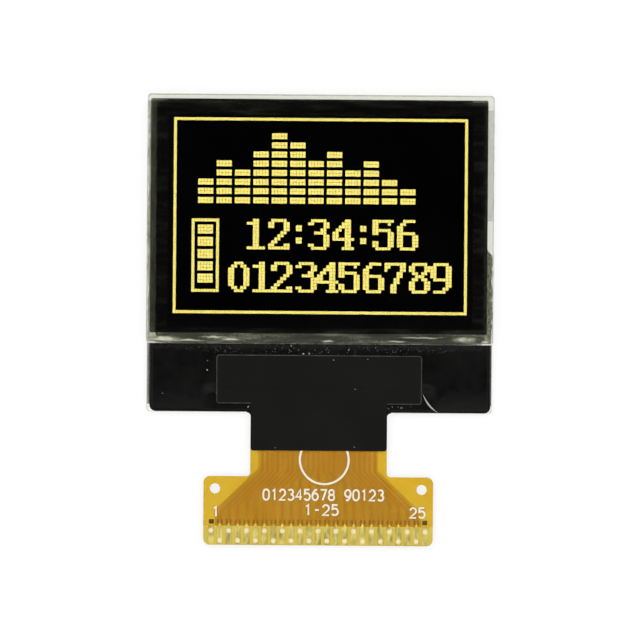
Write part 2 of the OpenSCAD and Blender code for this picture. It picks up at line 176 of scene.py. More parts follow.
def mottled_finish(name, dark, light, grain, skin, run=None, rough=None, relief=None,
                   tooth=None, stops=(NOISE_LOW, NOISE_HIGH)):
    """A finish that one noise mottles from a dark to a light tone between its stops.

    grain and skin are the sockets of the noise and of the shader, and run stretches the
    noise. rough is the roughness in the dark and in the light parts, and relief the strength
    and the depth in mm of the bumps, which follow a noise of their own where tooth gives one.
    """
    made, tree = new_material(name)
    place = add(tree, "TexCoord").outputs["Object"]
    if run:
        place = add(tree, "Mapping", {"Vector": place, "Scale": run})
    mottle = add(tree, "TexNoise", {"Vector": place, **grain})
    tone = add(tree, "ValToRGB", {"Fac": mottle}, stops=list(zip(stops, (srgb(dark), srgb(light)))))
    sockets = {"Base Color": tone, **skin}
    if rough:
        sockets["Roughness"] = add(tree, "MapRange", {
            "Value": mottle, "From Min": NOISE_LOW, "From Max": NOISE_HIGH,
            "To Min": rough[0], "To Max": rough[1]})
    if relief:
        if tooth:
            mottle = add(tree, "TexNoise", {"Vector": place, **tooth})
        sockets["Normal"] = add(tree, "Bump", {"Height": mottle, "Strength": relief[0],
                                               "Distance": relief[1] * MM})
    add(tree, "OutputMaterial", {"Surface": add(tree, "BsdfPrincipled", sockets)})
    return made


# ---------------------------------------------------------------- floor and world

FLOOR_RADIUS = 2.2
FLOOR_ALBEDO = 0.24
FLOOR_GRAIN = 1.01  # the board's lightest tone over its darkest
FLOOR_GLOW = 0.78
WORLD_LEVEL = 0.12
SKY_LOW, SKY_HIGH = 0.3, 0.85  # the sky darkens between these heights, where 1 is overhead


def seen_directly(tree):
    """1 for a ray that shows a thing to the eye: straight, in a mirror or through glass."""
    path = add(tree, "LightPath")
    mirrored = add(tree, "Math", {0: path.outputs["Is Camera Ray"],
                                  1: path.outputs["Is Glossy Ray"]}, operation="MAXIMUM")
    return add(tree, "Math", {0: mirrored, 1: path.outputs["Is Transmission Ray"]},
               operation="MAXIMUM")


def add_floor():
    """A matt pale board. What the eye sees of it is lifted to white and keeps the shadow."""
    made, tree = new_material("matt_white_board")
    grain = add(tree, "TexNoise", {"Vector": add(tree, "TexCoord").outputs["Object"],
                                   "Scale": 0.04 * PER_MM, "Detail": 2.0})
    greys = [(level, level, level, 1.0) for level in (FLOOR_ALBEDO, FLOOR_ALBEDO * FLOOR_GRAIN)]
    tone = add(tree, "ValToRGB", {"Fac": grain}, stops=list(zip((NOISE_LOW, NOISE_HIGH), greys)))
    board = add(tree, "BsdfDiffuse", {"Color": tone})
    lift = add(tree, "Math", {0: seen_directly(tree), 1: FLOOR_GLOW}, operation="MULTIPLY")
    glow = add(tree, "Emission", {"Strength": lift})
    add(tree, "OutputMaterial", {"Surface": add(tree, "AddShader", {0: board, 1: glow})})
    bm = bmesh.new()
    bmesh.ops.create_circle(bm, cap_ends=True, segments=96, radius=FLOOR_RADIUS)
    mesh = bpy.data.meshes.new("floor")
    bm.to_mesh(mesh)
    bm.free()
    mesh.materials.append(made)
    floor = bpy.data.objects.new("floor", mesh)
    bpy.context.collection.objects.link(floor)


def add_world():
    """Even soft light. To the eye it is white at the horizon and dark round the camera."""
    world = bpy.data.worlds.new("studio")
    world.use_nodes = True
    tree = world.node_tree
    tree.nodes.clear()
    direction = add(tree, "TexCoord").outputs["Generated"]
    up = add(tree, "SeparateXYZ", {"Vector": direction}).outputs["Z"]
    sky = add(tree, "MapRange", {"Value": up, "From Min": SKY_LOW, "From Max": SKY_HIGH,
                                 "To Min": 1.0, "To Max": 0.0})
    level = add(tree, "MapRange", {"Value": seen_directly(tree), "To Min": WORLD_LEVEL,
                                   "To Max": sky})
    add(tree, "OutputWorld", {"Surface": add(tree, "Background", {"Strength": level})})
    bpy.context.scene.world = world


# ---------------------------------------------------------------- materials


def float_glass():
    """Soda-lime float glass, as drawn: fire-polished faces, clear with a trace of warmth."""
    made, tree = new_material("float_glass_polished")
    glass = add(tree, "BsdfPrincipled", {"Base Color": srgb("FAFAF5"), "Roughness": 0.0,
                                         "IOR": 1.52, "Transmission Weight": 1.0})
    show_clear(tree, glass, "F9FAF5")
    return made


def ground_glass():
    """The same glass where it was scribed, broken and dressed on a 400 grit wheel: frosted.

    The wheel's scratches are drawn about three times as coarse as they are, to show.
    """
    made, tree = new_material("float_glass_ground_edge")
    place = add(tree, "TexCoord").outputs["Object"]
    grit = add(tree, "TexNoise", {"Vector": place, "Scale": 9.0 * PER_MM, "Detail": 3.0})
    chips = add(tree, "TexNoise", {"Vector": place, "Scale": 1.3 * PER_MM, "Detail": 2.0})
    rough = add(tree, "MapRange", {"Value": chips, "From Min": 0.35, "From Max": 0.65,
                                   "To Min": 0.18, "To Max": 0.5})
    bump = add(tree, "Bump", {"Height": grit, "Strength": 0.5, "Distance": 0.01 * MM})
    glass = add(tree, "BsdfPrincipled", {"Base Color": srgb("EEEEE6"), "IOR": 1.52,
                                         "Roughness": rough, "Transmission Weight": 1.0,
                                         "Normal": bump})
    show_clear(tree, glass, "D8DAD2")
    return made


def polariser_film():
    """Laminated circular polariser with a hard coat: near black, smooth, passes little light.

    Its flow marks lie 5 to 6 mm apart.
    """
    return mottled_finish("laminated_polariser_hard_coat", "020203", "040405",
                          {"Scale": 0.18 * PER_MM}, {"IOR": 1.49, "Alpha": 0.6},
                          rough=(0.05, 0.09))


def glowing_dots():
    """Evaporated yellow emitter, driven: an even warm yellow light over a finely mottled film."""
    return mottled_finish("yellow_emitter_lit", "C8B440", "D8C450", {"Scale": 4.0 * PER_MM},
                          {"Roughness": 0.5, "Emission Color": srgb("F6E67C"),
                           "Emission Strength": 7.6})


def organic_layers():
    """Evaporated organic layers, unlit: smooth and black."""
    return mottled_finish("evaporated_organic_layers", "050505", "080808",
                          {"Scale": 0.9 * PER_MM}, {"Roughness": 0.4})


def sputtered_metal(name, dark, light):
    """Sputtered metal, a few hundred nanometres thick: smooth, grey, darker where it is thin."""
    return mottled_finish(name, dark, light, {"Scale": 2.5 * PER_MM},
                          {"Metallic": 1.0, "Roughness": 0.25})


def sealing_resin(name, run, dark, middle, light):
    """UV-cured epoxy with filler, squeezed thin: grey-green, streaked the way it ran."""
    made, tree = new_material(name)
    place = add(tree, "TexCoord").outputs["Object"]
    along = add(tree, "Mapping", {"Vector": place, "Scale": run})
    streaks = add(tree, "TexNoise", {"Vector": along, "Scale": 1.9 * PER_MM,
                                     "Detail": 4.0, "Roughness": 0.6})
    filler = add(tree, "TexNoise", {"Vector": place, "Scale": 5.2 * PER_MM, "Detail": 3.0})
    mixed = add(tree, "Mix", {"Factor": 0.22, "A": streaks, "B": filler})
    tone = add(tree, "ValToRGB", {"Fac": mixed},
               stops=[(0.34, srgb(dark)), (0.5, srgb(middle)), (0.66, srgb(light))])
    bump = add(tree, "Bump", {"Height": mixed, "Strength": 0.6, "Distance": 0.02 * MM})
    cured = add(tree, "BsdfPrincipled", {"Base Color": tone, "Roughness": 0.35,
                                         "Normal": bump})
    add(tree, "OutputMaterial", {"Surface": cured})
    return made


def cloudy_resin(name, dark, light, alpha):
    """Resin with air in it, or only a skin of it on the glass: patchy and partly clear. Where it
    stands for air, its pale tone is painted light.
    """
    return mottled_finish(name, dark, light, {"Scale": 1.4 * PER_MM, "Detail": 3.0},
                          {"Roughness": 0.35, "Alpha": alpha}, stops=(0.33, 0.63))


def black_enamel():
    """Screened and fired black glass enamel: matt, even, with the screen's fine mesh."""
    return mottled_finish("fired_black_enamel", "060606", "0A0A0B", {"Scale": 3.0 * PER_MM},
                          {"Roughness": 0.6}, relief=(0.2, 0.004))


def poured_resin():
    """Dispensed black silicone coat: satin, with soft ripples and a faint mottle."""
    return mottled_finish("dispensed_black_silicone", "060606", "0D0D0C",
                          {"Scale": 0.5 * PER_MM, "Detail": 4.0, "Roughness": 0.6},
                          {"Specular IOR Level": 0.1}, rough=(0.24, 0.36),
                          relief=(0.35, 0.01), tooth={"Scale": 2.2 * PER_MM, "Detail": 2.0})


def light_tape_film():
    """Black polyester tape with a matt lacquer: satin, almost even, with a fine tooth."""
    return mottled_finish("polyester_tape_matt_lacquer", "0E0E0D", "131311",
                          {"Scale": 0.26 * PER_MM, "Detail": 3.0},
                          {"Roughness": 0.52, "Specular IOR Level": 0.08},
                          relief=(0.25, 0.006), tooth={"Scale": 6.0 * PER_MM, "Detail": 2.0})


def polyimide(name, dark, light):
    """Polyimide base film, cast: amber, satin, with faint clouds 3 to 4 mm apart."""
    return mottled_finish(name, dark, light, {"Scale": 0.3 * PER_MM, "Detail": 4.0},
                          {"Specular IOR Level": 0.25, "IOR": 1.5}, rough=(0.3, 0.42))


def polyimide_cover():
    """Polyimide cover film, cast and pressed on: clear amber that holds the blue back.

    Its IOR is low, because so thin a film hardly bends what is seen through it.
    """
    made, tree = new_material("polyimide_cover_film")
    cloud = add(tree, "TexNoise", {"Vector": add(tree, "TexCoord").outputs["Object"],
                                   "Scale": 0.42 * PER_MM, "Detail": 3.0})
    tone = add(tree, "ValToRGB", {"Fac": cloud},
               stops=[(NOISE_LOW, srgb("FCF2B8")), (NOISE_HIGH, srgb("FEF8CC"))])
    film = add(tree, "BsdfPrincipled", {"Base Color": tone, "IOR": 1.2, "Roughness": 0.12,
                                        "Transmission Weight": 1.0})
    show_clear(tree, film, "FEFBE2")
    return made


def rolled_copper():
    """Rolled annealed copper foil, etched and dulled: golden brown, brushed along the tail."""
    return mottled_finish("rolled_copper_etched", "92652A", "9E7032",
                          {"Scale": 3.0 * PER_MM, "Detail": 3.0},
                          {"Metallic": 0.5, "Roughness": 0.45}, run=(1.0, 0.1, 1.0))


def immersion_gold():
    """Nickel and immersion gold on copper: pale gold, satin, mottled by the foil's grain, with grey
    streaks along each pad that are painted reflections of the dark surroundings.
    """
    # The noise, stretched along the pads, paints grey streaks: painted dark reflections.
    return mottled_finish("immersion_gold_plate", "A89C50", "E0CC70",
                          {"Scale": 3.8 * PER_MM, "Detail": 4.0}, {"Metallic": 0.7},
                          run=(1.0, 0.35, 1.0), rough=(0.35, 0.55), relief=(0.5, 0.01),
                          stops=(NOISE_LOW, 0.65))


def plain_finish(name, dark, light, rough, per_mm):
    """A fine-grained solid finish, with so many grains to the millimetre, for small things."""
    return mottled_finish(name, dark, light, {"Scale": per_mm * PER_MM, "Detail": 3.0},
                          {"Roughness": rough}, relief=(0.3, 0.004))


# ---------------------------------------------------------------- mesh tools

MERGE_WITHIN = 0.0001 * MM
FLAT_WITHIN = math.radians(0.3)
ALL_SMOOTH = math.radians(180)


def finish_piece(name, bm, materials, replaced=(), smooth_to=None):
    """Makes the piece's object, gives it its finish and hides the CAD nodes it stands for."""
    if smooth_to is not None:
        for face in bm.faces:
            face.smooth = True
        for edge in bm.edges:
            edge.smooth = edge.calc_face_angle(0) < smooth_to
    mesh = bpy.data.meshes.new(name)
    bm.to_mesh(mesh)
    bm.free()
    for material in materials:
        mesh.materials.append(material)
    piece = bpy.data.objects.new(name, mesh)
    bpy.context.collection.objects.link(piece)
    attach(piece, "root")
    if replaced:
        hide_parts(*replaced)


def copy_of(node):
    """A copy of a CAD node's mesh, with its points merged and its flat faces whole again."""
    bm = bmesh.new()
    bm.from_mesh(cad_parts[node].data)
    bmesh.ops.remove_doubles(bm, verts=bm.verts, dist=MERGE_WITHIN)
    bmesh.ops.dissolve_limit(bm, angle_limit=FLAT_WITHIN, verts=bm.verts, edges=bm.edges,
                             use_dissolve_boundaries=False)
    return bm


def sheet_over(low, high, columns=1, rows=1):
    """A flat sheet of faces over a box, to be thickened."""
    bm = bmesh.new()
    bmesh.ops.create_grid(bm, x_segments=columns, y_segments=rows, size=0.5)
    bmesh.ops.scale(bm, vec=(high.x - low.x, high.y - low.y, 1), verts=bm.verts)
    bmesh.ops.translate(bm, vec=((low.x + high.x) / 2, (low.y + high.y) / 2, 0),
                        verts=bm.verts)
    return bm


def thicken(bm, bottom, top):
    """Turns a flat sheet into a closed solid between two heights."""
    for vert in bm.verts:
        vert.co.z = bottom
    made = bmesh.ops.extrude_face_region(bm, geom=bm.faces[:])
    for item in made["geom"]:
        if isinstance(item, bmesh.types.BMVert):
            item.co.z = top
    bmesh.ops.recalc_face_normals(bm, faces=bm.faces)


def add_slab(bm, middle, size):
    """A flat block."""
    bmesh.ops.create_cube(bm, size=1, matrix=Matrix.Translation(middle)
                          @ Matrix.Diagonal((*size, 1)))


def break_edges(bm, width, sharper_than=math.radians(50)):
    """Rounds every edge at which the faces turn sharply."""
    sharp = [e for e in bm.edges if e.calc_face_angle(0) > sharper_than]
    bmesh.ops.bevel(bm, geom=sharp, offset=width, offset_type="OFFSET", segments=2,
                    profile=0.5, affect="EDGES", material=-1, clamp_overlap=True)


def wander(x, y, length, falloff, octaves):
    """Rough noise, from about -1 to 1, whose largest waves have the given length."""
    return noise.fractal(Vector((x, y, 0)) / length, falloff, 2.0, octaves)


# ---------------------------------------------------------------- glass and polariser

GLASS_NIP = 0.03 * MM
POLARISER_NIP = 0.02 * MM
FACE_ON = 0.95  # a face that points up or down by more than this is a polished one


def add_glass_plates(polished, ground):
    """Both plates, clear of what lies against them, with dressed edges that catch the light."""
    for node in ("substrate_glass", "cover_glass"):
        low, high = BOX[node]
        bm = copy_of(node)
        for vert in bm.verts:
            vert.co.z += GAP if vert.co.z < (low.z + high.z) / 2 else -GAP
        break_edges(bm, GLASS_NIP, sharper_than=math.radians(30))
        for face in bm.faces:
            face.material_index = int(abs(face.normal.z) <= FACE_ON)
        finish_piece(node + "_dressed", bm, [polished, ground], [node])


def add_polariser(material):
    """The laminated film with its cut edges broken."""
    bm = copy_of("polariser")
    break_edges(bm, POLARISER_NIP)
    finish_piece("polariser_film", bm, [material], ["polariser"])


# ---------------------------------------------------------------- seal and surround

SEAL_WIDTH = 1.1 * MM
SEAL_STEP = 0.12 * MM
SEAL_CUTS = 4  # across its width
SIDE_BAND = 1.01 * SEAL_WIDTH  # what lies nearer to a side than this moves sideways
SEAL_SWAY = 0.06 * MM  # how far its outer edge wanders
SEAL_SWAY_LENGTH = 0.9 * MM
SEAL_LIFT = 0.011 * MM  # over the leads that pass under it
SEAL_RUN_OUT = 7.4 * MM  # how far up the right side the resin came out to the edge
SEAL_RUN_TAPER = 14  # it draws back over this part of that length: one in so many
SEAL_RUN_MEAN, SEAL_RUN_SWAY = 0.9, 0.12  # the part of the way to the edge, and its change
SEAL_RISE = 0.13 * MM  # how far the resin came out at the top
SEAL_RISE_SWAY = 0.02 * MM
SEAL_FOOT_MARGIN = 0.02 * MM
THIN_WIDTH = 0.25 * MM  # of the thin resin at the left side
SIDE_WIDTH = 0.2 * MM  # of the streaked resin at the right side


def seal_ring(low, high):
    """A flat rectangular ring of small squares."""
    bm = sheet_over(low, high)
    middle = bm.faces[:]
    bmesh.ops.inset_region(bm, faces=middle, thickness=SEAL_WIDTH, use_boundary=True,
                           use_even_offset=True)
    bmesh.ops.delete(bm, geom=middle, context="FACES_ONLY")
    mitres = [e for e in bm.edges if e.calc_length() < 2 * SEAL_WIDTH]
    bmesh.ops.subdivide_edges(bm, edges=mitres, cuts=SEAL_CUTS, use_grid_fill=True)
    for axis in (0, 1):
        long_way = [e for e in bm.edges
                    if abs(e.verts[0].co[axis] - e.verts[1].co[axis]) > 4 * SEAL_WIDTH]
        count = int((high[axis] - low[axis]) / SEAL_STEP)
        bmesh.ops.subdivide_edges(bm, edges=long_way, cuts=count, use_grid_fill=True)
    return bm


def add_seal_bead(resin, thin_resin, side_resin):
    """The resin as it was squeezed out: its outer edge wanders and runs out at the sides."""
    low, high = BOX["perimeter_seal"]
    cover_low, cover_high = BOX["cover_glass"]
    run_out = cover_high.x - high.x - EDGE_MARGIN
    bm = seal_ring(low, high)
    for vert in bm.verts:
        x, y = vert.co.x, vert.co.y
        from_side = min(x - low.x, high.x - x)
        outer = max(0, 1 - min(from_side, y - low.y, high.y - y) / SEAL_WIDTH)
        sway = wander(x, y, SEAL_SWAY_LENGTH, 0.8, 3)
        push = SEAL_SWAY * sway
        if from_side < SIDE_BAND:
            left_of_run = 1 - (y - low.y) / SEAL_RUN_OUT if x > 0 else 1
            if left_of_run > 0:
                push += (run_out * (SEAL_RUN_MEAN + SEAL_RUN_SWAY * sway)
                         * min(1, SEAL_RUN_TAPER * left_of_run))
            vert.co.x = max(cover_low.x + GAP, x + math.copysign(push * outer, x))
        elif y > 0:
            vert.co.y += (SEAL_RISE + min(push, SEAL_RISE_SWAY)) * outer
        else:
            vert.co.y -= (low.y - cover_low.y - SEAL_FOOT_MARGIN) * outer
    thicken(bm, low.z + SEAL_LIFT, high.z - GAP)
    for face in bm.faces:
        x = face.calc_center_median().x
        if x < low.x + THIN_WIDTH:
            face.material_index = 1
        elif x > high.x - SIDE_WIDTH:
            face.material_index = 2
    finish_piece("seal_bead", bm, [resin, thin_resin, side_resin],
                 ["perimeter_seal"])


# Voids along the foot of the seal, in mm: from the left side, from the foot, length, height
VOIDS = [(1.35, 0.33, 1.9, 0.34), (2.9, 0.22, 2.2, 0.13), (24.9, 0.42, 1.35, 0.34),
         (26.55, 0.25, 0.5, 0.16), (5.3, 0.5, 1.6, 0.12), (6.6, 0.32, 1.2, 0.16),
         (21.5, 0.55, 2.4, 0.1), (14.2, 0.22, 0.7, 0.14), (19.6, 0.25, 1.0, 0.1)]
# How much larger each shell of a void is, and half its thickness: each lies inside the next
VOID_SHELLS = [(1.0, 0.0019 * MM), (1.25, 0.0015 * MM), (1.5, 0.0011 * MM), (1.8, 0.0007 * MM)]
VOID_RIPPLE = 0.07 * MM
VOID_RIPPLE_LENGTH = 0.35 * MM
VOID_MARGIN = 0.05 * MM


def add_seal_voids(resins_in_out):
    """Air along the foot of the seal: flat shells in each other, which fade outwards. Their pale
    tone is painted light, for the light that shows through the air.
    """
    low, high = BOX["cover_glass"]
    level = BOX["perimeter_seal"][1].z - GAP
    bm = bmesh.new()
    for across, up, length, height in VOIDS:
        place = Matrix.Translation((low.x + across * MM, low.y + up * MM, level))
        for shell, (grown, thickness) in enumerate(VOID_SHELLS):
            shape = Matrix.Diagonal((grown * length / 2 * MM, grown * height / 2 * MM,
                                     thickness, 1))
            made = bmesh.ops.create_uvsphere(bm, u_segments=32, v_segments=8, radius=1,
                                             matrix=place @ shape)
            for face in {f for v in made["verts"] for f in v.link_faces}:
                face.material_index = shell
    for vert in bm.verts:
        ripple = VOID_RIPPLE * noise.noise(vert.co / VOID_RIPPLE_LENGTH)
        vert.co.y = max(low.y + VOID_MARGIN, vert.co.y + ripple)
        vert.co.x = clamp(vert.co.x, low.x + VOID_MARGIN, high.x - VOID_MARGIN)
    finish_piece("seal_voids", bm, resins_in_out, (), ALL_SMOOTH)


SKIN_THICKNESS = 0.002 * MM  # of a haze or a smear on the glass
HAZE_MARGIN = 0.08 * MM
HAZE_SHARE = 0.46  # of the seal's height
HAZE_DROP = 0.56  # of its own length, from its margin at the top to its middle


def add_seal_haze(resin):
    """A haze that the resin gave off clouds the bare margin at the right."""
    low, high = BOX["perimeter_seal"]
    side = BOX["cover_glass"][1].x
    margin = side - BOX["polariser"][1].x
    length = HAZE_SHARE * (high.y - low.y)
    bm = bmesh.new()
    add_slab(bm, Vector((side - margin / 2, high.y - HAZE_MARGIN - HAZE_DROP * length,
                         (low.z + high.z) / 2)),
             Vector((margin - HAZE_MARGIN, length, SKIN_THICKNESS)))
    finish_piece("seal_haze", bm, [resin])


SURROUND_OVERLAP = 0.004 * MM


def add_surround(enamel):
    """The black print, brought in over the edge of the image so that no light passes."""
    low, high = BOX["surround_mask"]
    image_low, image_high = BOX["emissive_film"]
    bm = sheet_over(low, high)
    middle = bm.faces[:]
    bmesh.ops.inset_region(bm, faces=middle, thickness=image_low.x - low.x, use_boundary=True)
    for vert in middle[0].verts:
        vert.co.x = math.copysign(image_high.x - SURROUND_OVERLAP, vert.co.x)
        at_foot = abs(vert.co.y - low.y) < abs(vert.co.y - high.y)
        vert.co.y = (image_low.y + SURROUND_OVERLAP if at_foot
                     else image_high.y - SURROUND_OVERLAP)
    bmesh.ops.delete(bm, geom=middle, context="FACES_ONLY")
    thicken(bm, low.z + GAP, high.z - GAP)
    finish_piece("surround_print", bm, [enamel], ["surround_mask"])


# ---------------------------------------------------------------- lit dots

COLUMNS = 96
ROWS = 64
DOT_GAP = 0.03 * MM
# Places in the grid of dots are columns from the left and rows from the top
METER_LEFT, METER_FOOT = 8, 29
BAR_LEVELS = [3, 5, 4, 6, 8, 7, 5, 6, 4, 5, 3, 2]
BAR_PITCH, BAR_WIDTH = 6, 5
LEVEL_PITCH, LEVEL_HEIGHT = 3, 2
# Left, top, width and height of the gauge's frame and of its first cell
GAUGE_FRAME = (6, 33, 9, 24)
GAUGE_CELL = (8, 35, 5, 3)
GAUGE_CELLS, GAUGE_PITCH = 5, 4
# Each line of figures: its text, left, top and the columns from one figure to the next
FIGURE_LINES = [("12:34:56", 23, 33, 8), ("0123456789", 18, 47, 7.4)]
COLON_ADVANCE = 5
DIGITS = {
    "0": "..###.. .##.##. ##...## ##...## ##...## ##...## ##...## ##...## .##.##. ..###..",
    "1": "...##.. .####.. ...##.. ...##.. ...##.. ...##.. ...##.. ...##.. ...##.. .######",
    "2": ".#####. ##...## ##...## .....## ....##. ...##.. ..##... .##.... ##...## #######",
    "3": ".#####. ##...## .....## ....##. ..####. .....## .....## .....## ##...## .#####.",
    "4": "....##. ...###. ..####. .##.##. ##..##. ##..##. ####### ....##. ....##. ...####",
    "5": "####### ##...#. ##..... ######. ##...## .....## .....## ##...## ##...## .#####.",
    "6": "..####. .##.... ##..... ##..... ######. ##...## ##...## ##...## ##...## .#####.",
    "7": "####### ##...## #....## ....##. ....##. ...##.. ...##.. ..##... ..##... ..##...",
    "8": ".#####. ##...## ##...## .##.##. ..###.. .##.##. ##...## ##...## ##...## .#####.",
    "9": ".#####. ##...## ##...## ##...## ##...## .###### .....## .....## ....##. .####..",
    ":": "... ... .## .## ... ... .## .## ... ...",
}


def block_cells(left, top, width, height):
    """The cells of a filled block."""
    return {(c, r) for c in range(left, left + width) for r in range(top, top + height)}


def frame_cells(left, top, width, height):
    """The cells of a frame one dot wide."""
    return (block_cells(left, top, width, height)
            - block_cells(left + 1, top + 1, width - 2, height - 2))


def lit_cells():
    """A border, a level meter, a gauge and two lines of figures."""
    cells = frame_cells(0, 0, COLUMNS, ROWS)
    for bar, level in enumerate(BAR_LEVELS):
        for step in range(1, level + 1):
            cells |= block_cells(METER_LEFT + BAR_PITCH * bar, METER_FOOT - LEVEL_PITCH * step,
                                 BAR_WIDTH, LEVEL_HEIGHT)
    cells |= frame_cells(*GAUGE_FRAME)
    left, top, width, height = GAUGE_CELL
    for step in range(GAUGE_CELLS):
        cells |= block_cells(left, top + GAUGE_PITCH * step, width, height)
    for text, place, top, advance in FIGURE_LINES:
        for mark in text:
            for r, row in enumerate(DIGITS[mark].split()):
                cells |= {(int(place) + c, top + r) for c, dot in enumerate(row) if dot == "#"}
            place += COLON_ADVANCE if mark == ":" else advance
    return cells


def add_dots(material):
    """One small block for each lit dot."""
    low, high = BOX["emissive_film"]
    glow_low, glow_high = BOX["lit_image"]
    across = (high.x - low.x) / COLUMNS
    down = (high.y - low.y) / ROWS
    lit = lit_cells()
    bm = sheet_over(low, high, COLUMNS, ROWS)
    dark = []
    for face in bm.faces:
        middle = face.calc_center_median()
        if (int((middle.x - low.x) / across), int((high.y - middle.y) / down)) not in lit:
            dark.append(face)
    bmesh.ops.delete(bm, geom=dark, context="FACES")
    rims = bmesh.ops.inset_individual(bm, faces=bm.faces[:], thickness=DOT_GAP / 2)["faces"]
    bmesh.ops.delete(bm, geom=rims, context="FACES")
    thicken(bm, glow_low.z + GAP, glow_high.z - GAP)
    finish_piece("lit_dots", bm, [material], ["lit_image"])


# ---------------------------------------------------------------- ledge coat and tape

COAT_STEP = 0.1 * MM
COAT_ROUND = 0.5 * MM
COAT_SPREAD = 0.14 * MM  # how much further the resin ran on the right; at the foot, half
COAT_LIFT = 0.012 * MM  # over the leads that pass under it
BEAD_WIDTH = 0.6 * MM
SHOULDER = 0.25 * MM
CHIP_MARGIN = 0.1 * MM  # from the chip to the top of the slope
BESIDE_TAPE = 1.5 * MM
# How high and how long the lumps are: those all over, and the rough ones at the cover
LUMP, LUMP_LENGTH = 0.008 * MM, 1.4 * MM
ROUGH_LUMP, ROUGH_LUMP_LENGTH = 0.05 * MM, 0.24 * MM
ROUGH_WIDTH = 1.0 * MM
LUMP_LIMIT = 0.04 * MM
UNDER_TAPE = -0.004 * MM  # the coat lies lower there, in place of lumps
TAPE_MARGIN = 0.08 * MM


def surface_height(x, y):
    """Height of the coat: a bead along the cover, a flat over the chip, a slope to the tail.

    Under the tape the slope is short; beside it the resin lies higher and falls to the foot.
    """
    low, top = BOX["ledge_coat"]
    chip_low, chip_high = BOX["driver_chip"]
    fall = chip_high.z - BOX["tail_cover_film"][1].z
    slope_from = chip_low.y - CHIP_MARGIN
    slope_to = BOX["tail_bond_film"][1].y
    if y > top.y - BEAD_WIDTH:
        share = (top.y - y) / BEAD_WIDTH
        return chip_high.z + (top.z - chip_high.z) * (1 - math.sin(math.pi / 2 * share))
    if y > slope_from:
        return chip_high.z
    beside = clamp((abs(x) - BOX["light_tape"][1].x) / BESIDE_TAPE)
    beside *= beside * (3 - 2 * beside)  # eased at both ends
    steep = min(1, (slope_from - y) / (slope_from - slope_to))
    gentle = min(1, (slope_from - y) / (slope_from - low.y))
    fallen = (1 - beside) * (1 - math.cos(math.pi * steep)) / 2 + beside * gentle ** 2
    return chip_high.z - fall * fallen


def inside(point, low, high, margin):
    """True if the point is in the rectangle, grown by the margin."""
    return (low.x - margin < point.x < high.x + margin
            and low.y - margin < point.y < high.y + margin)


def coat_edge(point, low, high):
    """Distance to the coat's lower or side edge, and the point moved inside round corners."""
    middle = Vector((clamp(point.x, low.x + COAT_ROUND, high.x - COAT_ROUND),
                     max(point.y, low.y + COAT_ROUND)))
    away = Vector((point.x, point.y)) - middle
    if away.length > COAT_ROUND:
        away *= COAT_ROUND / away.length
    placed = middle + away
    if middle.x != point.x and point.y < low.y + COAT_ROUND:
        return COAT_ROUND - away.length, placed
    return min(placed.x - low.x, high.x - placed.x, placed.y - low.y), placed


def coat_lump(place, top):
    """How much the coat stands over or under its smooth height."""
    if inside(place, *BOX["light_tape"], TAPE_MARGIN):
        return UNDER_TAPE
    rough = max(0, 1 - (top - place.y) / ROUGH_WIDTH)
    return min(LUMP_LIMIT,
               LUMP * wander(place.x, place.y, LUMP_LENGTH, 0.7, 3)
               + ROUGH_LUMP * rough * wander(place.x, place.y, ROUGH_LUMP_LENGTH, 0.8, 4))


def add_coat(material):
    """Poured resin over the leads: rounded shoulders, soft lumps, a rough bead at the cover."""
    low, high = BOX["ledge_coat"]
    low = low - Vector((0, COAT_SPREAD / 2, 0))
    high = high + Vector((COAT_SPREAD, 0, 0))
    chip = BOX["driver_chip"]
    tail = BOX["tail_bond_film"]
    base = low.z + COAT_LIFT
    bm = sheet_over(low, high, round((high.x - low.x) / COAT_STEP),
                    round((high.y - low.y) / COAT_STEP))
    hidden = [f for f in bm.faces
              if any(inside(f.calc_center_median(), *box, COAT_STEP / 2) for box in (chip, tail))]
    bmesh.ops.delete(bm, geom=hidden, context="FACES")
    for vert in bm.verts:
        if inside(vert.co, *tail, COAT_STEP):
            vert.co.x = math.copysign(tail[1].x + GAP, vert.co.x)
    thicken(bm, base, high.z)
    for vert in bm.verts:
        edge, placed = coat_edge(vert.co, low, high)
        vert.co.x, vert.co.y = placed
        if vert.co.z < high.z - GAP:
            continue
        height = surface_height(placed.x, placed.y) + coat_lump(placed, high.y) - base
        vert.co.z = base + GAP + height * math.sqrt(1 - (1 - clamp(edge / SHOULDER)) ** 2)
    finish_piece("poured_coat", bm, [material], ["ledge_coat"],
                 math.radians(60))


FILLET = 0.3 * MM
FILLET_STEPS = 8


def add_fillets(material):
    """The resin that crept into the corners between the plate's foot and the tail."""
    side = BOX["tail_bond_film"][1].x
    foot = BOX["substrate_glass"][0].y
    bm = bmesh.new()
    for hand in (-1, 1):
        outline = [(side, foot + FILLET / 2), (side + FILLET, foot + FILLET / 2)]
        for step in range(FILLET_STEPS + 1):
            turn = math.pi / 2 * (1 + step / FILLET_STEPS)
            outline.append((side + FILLET * (1 + math.cos(turn)),
                            foot - FILLET * (1 - math.sin(turn))))
        bm.faces.new([bm.verts.new((x * hand, y, 0)) for x, y in outline])
    thicken(bm, BOX["ledge_coat"][0].z, BOX["light_tape"][0].z)
    finish_piece("coat_fillets", bm, [material])


SMEAR_SHARES = (1, 0.62, 0.3)  # how much of the way to the plate's side each skin reaches
SMEAR_PITCH = 0.004 * MM


def add_smear(material):
    """The thin skin of resin left on the glass at both sides: thicker next to the coat."""
    plate_low, plate_high = BOX["substrate_glass"]
    low, high = BOX["ledge_coat"]
    length = high.y - low.y - COAT_ROUND
    bm = bmesh.new()
    for edge, coat in ((plate_low.x + EDGE_MARGIN, low.x),
                       (plate_high.x - EDGE_MARGIN, high.x + COAT_SPREAD)):
        for skin, share in enumerate(SMEAR_SHARES):
            reach = (edge - coat) * share
            add_slab(bm, Vector((coat + reach / 2, high.y - length / 2,
                                 plate_high.z + GAP + skin * SMEAR_PITCH)),
                     Vector((abs(reach), length, SKIN_THICKNESS)))
    finish_piece("coat_smear", bm, [material])


TAPE_RIM = 0.075 * MM
TAPE_NIP = 0.022 * MM


